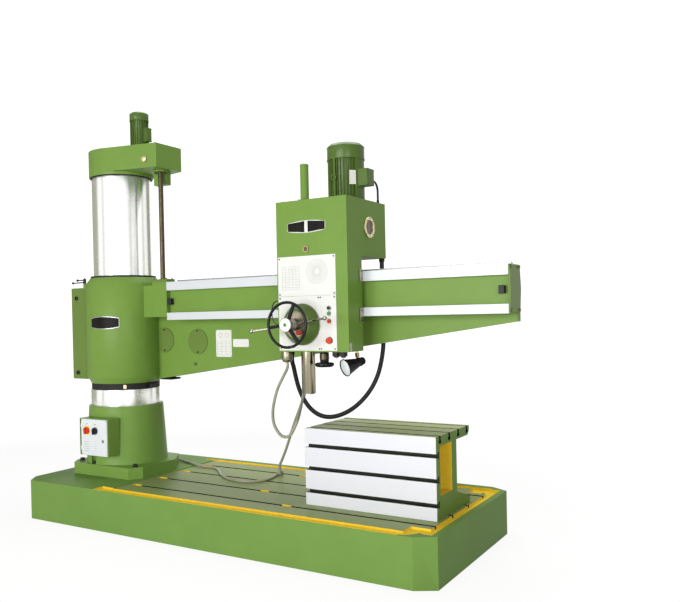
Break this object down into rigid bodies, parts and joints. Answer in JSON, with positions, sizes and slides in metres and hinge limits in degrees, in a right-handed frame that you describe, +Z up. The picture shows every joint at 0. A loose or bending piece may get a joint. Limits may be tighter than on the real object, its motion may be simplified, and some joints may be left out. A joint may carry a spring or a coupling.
{
  "type": "radial arm drill",
  "caption": "Large radial arm drill with slotted base, turning column, lifting arm, sliding drill head and box table.",
  "frame": {"origin": "on the column's axis at floor level", "axes": "+X along the base and the arm towards the box table, +Y to the back, +Z up"},
  "size_m": [5.498, 2, 4.725],
  "materials": {
    "green_paint": "semi-gloss leaf green enamel",
    "bright_steel": "ground and polished",
    "machined_iron": "machined grey",
    "gear_steel": "oiled steel",
    "bronze": "plain bronze",
    "white_panel": "smooth white",
    "black_plastic": "matte black",
    "red_plastic": "glossy red",
    "green_plastic": "glossy green",
    "black_rubber": "matte black rubber",
    "grey_hose": "grey-green hose"
  },
  "bodies": {
    "frame": {"base": "green_paint", "pedestal": "green_paint", "pedestal_bolts": "gear_steel", "inner_column": "gear_steel", "electric_box": "green_paint", "box_table": "machined_iron", "table_bolts": "gear_steel", "coolant_hose_lower": "grey_hose", "base_hose_fittings": "gear_steel"},
    "column": {"outer_column": "bright_steel", "column_bearings": "bronze", "top_cap": "green_paint", "lift_motor": "green_paint", "screw_bearing": "green_paint"},
    "arm": {"arm_casting": "green_paint", "guide_rails": "bright_steel", "traverse_rack": "gear_steel", "rail_stops": "black_plastic", "arm_end_plate": "green_paint", "sleeve_wipers": "black_rubber", "clamp_housing": "green_paint", "lift_nut": "bronze"},
    "head": {"head_casing": "green_paint", "main_motor": "green_paint", "spindle_guard_tube": "green_paint", "speed_panel": "white_panel", "control_panel": "white_panel", "feed_housing": "green_paint", "hose_fitting": "bright_steel", "head_glands": "black_plastic", "power_hose": "black_rubber", "coolant_hose_loop": "grey_hose", "coolant_hose_upper": "grey_hose", "motor_cable": "black_rubber"},
    "cabinet_door": {"cabinet_door": "white_panel"},
    "main_switch": {"main_switch": "red_plastic"},
    "selector_knob": {"selector_knob": "black_plastic"},
    "lift_screw": {"lift_screw": "bright_steel"},
    "lift_idler_gear": {"lift_idler_gear": "gear_steel"},
    "lift_motor_pinion": {"lift_motor_pinion": "gear_steel"},
    "upper_clamp_lever": {"upper_clamp_lever": "black_plastic"},
    "lower_clamp_lever": {"lower_clamp_lever": "black_plastic"},
    "traverse_pinion": {"traverse_pinion": "gear_steel"},
    "quill": {"quill": "bright_steel"},
    "spindle": {"spindle": "gear_steel"},
    "spindle_gear": {"spindle_gear": "gear_steel"},
    "idler_gear": {"idler_gear": "gear_steel"},
    "motor_pinion": {"motor_pinion": "gear_steel"},
    "feed_levers": {"feed_levers": "bright_steel"},
    "counter_shaft": {"counter_shaft": "gear_steel"},
    "handwheel": {"handwheel": "black_plastic"},
    "hub_button": {"hub_button": "green_plastic"},
    "fine_feed_wheel": {"fine_feed_wheel": "black_plastic"},
    "black_button": {"black_button": "black_plastic"},
    "green_button": {"green_button": "green_plastic"},
    "red_button": {"red_button": "red_plastic"},
    "stop_button": {"stop_button": "red_plastic"},
    "lamp_bracket": {"lamp_bracket": "bright_steel"},
    "lamp": {"lamp": "black_plastic"}
  },
  "joints": [
    {"name": "arm_swing", "type": "hinge", "parent": "frame", "child": "column", "pos_m": [0, 0, 1.238], "axis": [0, 0, 1], "range_deg": [-180, 180]},
    {"name": "arm_lift", "type": "slide", "parent": "column", "child": "arm", "axis": [0, 0, 1], "range_m": [0, 1.15]},
    {"name": "lift_screw_turn", "type": "hinge", "parent": "column", "child": "lift_screw", "pos_m": [0.647, 0, 4.005], "axis": [0, 0, 1], "range_deg": [0, 10400]},
    {"name": "lift_idler_turn", "type": "hinge", "parent": "column", "child": "lift_idler_gear", "pos_m": [0.462, 0, 4.127], "axis": [0, 0, 1], "range_deg": [-12200, 0]},
    {"name": "lift_motor_turn", "type": "hinge", "parent": "column", "child": "lift_motor_pinion", "pos_m": [0.322, 0, 4.127], "axis": [0, 0, 1], "range_deg": [0, 18900]},
    {"name": "upper_lever_turn", "type": "hinge", "parent": "arm", "child": "upper_clamp_lever", "pos_m": [-0.31516, -0.33095, 2.74], "axis": [0, 0, 1], "range_deg": [-20, 60]},
    {"name": "lower_lever_turn", "type": "hinge", "parent": "arm", "child": "lower_clamp_lever", "pos_m": [-0.31516, -0.33095, 2.71], "axis": [0, 0, 1], "range_deg": [-15, 60]},
    {"name": "head_traverse", "type": "slide", "parent": "arm", "child": "head", "axis": [1, 0, 0], "range_m": [-1.75, 1.4]},
    {"name": "traverse_pinion_turn", "type": "hinge", "parent": "head", "child": "traverse_pinion", "pos_m": [2.85, 0.08, 2.7545], "axis": [0, 1, 0], "range_deg": [-2100, 1680]},
    {"name": "handwheel_turn", "type": "hinge", "parent": "head", "child": "handwheel", "pos_m": [2.85, -0.67, 2.18], "axis": [0, 1, 0], "range_deg": [-810, 650]},
    {"name": "quill_feed", "type": "slide", "parent": "head", "child": "quill", "axis": [0, 0, -1], "range_m": [-0.26, 0.3]},
    {"name": "counter_shaft_turn", "type": "hinge", "parent": "head", "child": "counter_shaft", "pos_m": [2.92, -0.25, 2.18], "axis": [0, 1, 0], "range_deg": [-390, 340]},
    {"name": "feed_lever_turn", "type": "hinge", "parent": "head", "child": "feed_levers", "pos_m": [2.85, -0.5, 2.18], "axis": [0, 1, 0], "range_deg": [-360, 410]},
    {"name": "spindle_turn", "type": "hinge", "parent": "quill", "child": "spindle", "pos_m": [2.814, -0.25, 2], "axis": [0, 0, 1], "continuous": true},
    {"name": "spindle_gear_turn", "type": "hinge", "parent": "head", "child": "spindle_gear", "pos_m": [2.814, -0.25, 3.135], "axis": [0, 0, 1], "continuous": true},
    {"name": "idler_turn", "type": "hinge", "parent": "head", "child": "idler_gear", "pos_m": [2.97271, -0.06997, 3.135], "axis": [0, 0, 1], "continuous": true},
    {"name": "motor_turn", "type": "hinge", "parent": "head", "child": "motor_pinion", "pos_m": [3.10498, 0.08005, 3.135], "axis": [0, 0, 1], "continuous": true},
    {"name": "fine_feed_turn", "type": "hinge", "parent": "head", "child": "fine_feed_wheel", "pos_m": [3.034, -0.3, 1.8], "axis": [0, 0, 1], "continuous": true},
    {"name": "hub_button_press", "type": "slide", "parent": "handwheel", "child": "hub_button", "axis": [0, 1, 0], "range_m": [0, 0.005], "stiffness_N_per_m": 600},
    {"name": "black_button_press", "type": "slide", "parent": "head", "child": "black_button", "axis": [0, 1, 0], "range_m": [0, 0.005], "stiffness_N_per_m": 600},
    {"name": "green_button_press", "type": "slide", "parent": "head", "child": "green_button", "axis": [0, 1, 0], "range_m": [0, 0.005], "stiffness_N_per_m": 600},
    {"name": "red_button_press", "type": "slide", "parent": "head", "child": "red_button", "axis": [0, 1, 0], "range_m": [0, 0.005], "stiffness_N_per_m": 600},
    {"name": "stop_button_press", "type": "slide", "parent": "head", "child": "stop_button", "axis": [0, 1, 0], "range_m": [0, 0.005], "stiffness_N_per_m": 600},
    {"name": "door_turn", "type": "hinge", "parent": "frame", "child": "cabinet_door", "pos_m": [-0.162, -0.569, 0.9], "axis": [0, 0, -1], "range_deg": [0, 110]},
    {"name": "main_switch_turn", "type": "hinge", "parent": "cabinet_door", "child": "main_switch", "pos_m": [-0.058, -0.575, 0.9824], "axis": [0, 1, 0], "range_deg": [0, 90]},
    {"name": "selector_turn", "type": "hinge", "parent": "cabinet_door", "child": "selector_knob", "pos_m": [0.078, -0.575, 0.9824], "axis": [0, 1, 0], "range_deg": [-45, 45]},
    {"name": "lamp_swivel", "type": "hinge", "parent": "head", "child": "lamp_bracket", "pos_m": [3.34, -0.19, 1.865], "axis": [0, 0, 1], "range_deg": [-60, 60]},
    {"name": "lamp_tilt", "type": "hinge", "parent": "lamp_bracket", "child": "lamp", "pos_m": [3.34, -0.19, 1.865], "axis": [0.8829, -0.4695, 0], "range_deg": [0, 40]}
  ],
  "couplings": [
    {"joint": "lift_screw_turn", "follows": "arm_lift", "rad_per_m": 157.08},
    {"joint": "lift_idler_turn", "follows": "arm_lift", "rad_per_m": -184.8},
    {"joint": "lift_motor_turn", "follows": "arm_lift", "rad_per_m": 285.6},
    {"joint": "traverse_pinion_turn", "follows": "head_traverse", "rad_per_m": 20.833},
    {"joint": "handwheel_turn", "follows": "head_traverse", "rad_per_m": 8},
    {"joint": "counter_shaft_turn", "follows": "quill_feed", "rad_per_m": -22.222},
    {"joint": "feed_lever_turn", "follows": "quill_feed", "rad_per_m": 23.529},
    {"joint": "spindle_gear_turn", "follows": "spindle_turn", "ratio": 1},
    {"joint": "idler_turn", "follows": "spindle_turn", "ratio": -0.71429},
    {"joint": "motor_turn", "follows": "spindle_turn", "ratio": 1.6667}
  ]
}
